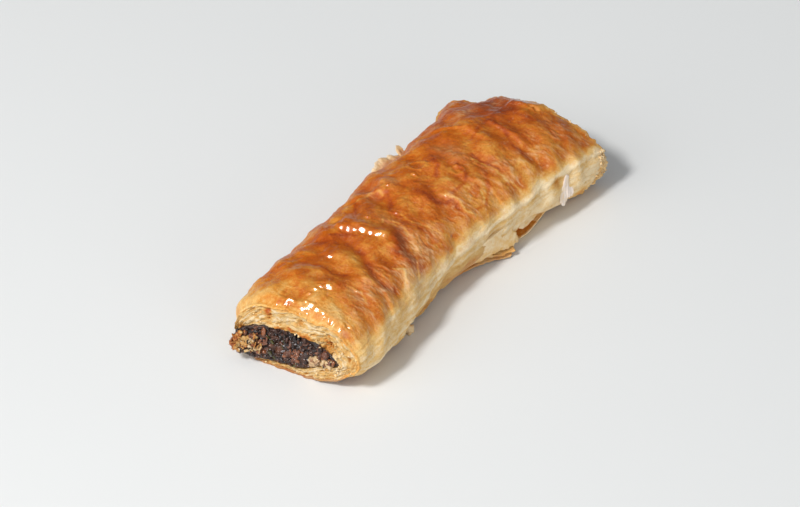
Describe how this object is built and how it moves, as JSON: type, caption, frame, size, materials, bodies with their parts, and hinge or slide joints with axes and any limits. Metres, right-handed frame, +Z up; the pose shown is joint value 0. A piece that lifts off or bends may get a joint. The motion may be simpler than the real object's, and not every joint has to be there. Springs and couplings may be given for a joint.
{
  "type": "cigarette borek, a filled roll of glazed puff pastry",
  "caption": "Baked roll of glazed puff pastry, cut square at both ends, with a dark savoury filling running through it, for table and food scenes.",
  "frame": {"origin": "middle of the roll's overall box, on the table surface that its flat base rests on", "axes": "+Y along the roll, away from the cut end where the filling bulges out; +X across the roll to the right as seen from that end; +Z up"},
  "size_m": [0.064, 0.153, 0.0309],
  "materials": {
    "crust": "egg-glazed baked puff pastry, golden brown on top, pale cream at the sides and cut layers",
    "filling": "moist dark minced filling with oily glints"
  },
  "bodies": {
    "root": {"crust": "crust", "filling": "filling"}
  },
  "joints": []
}
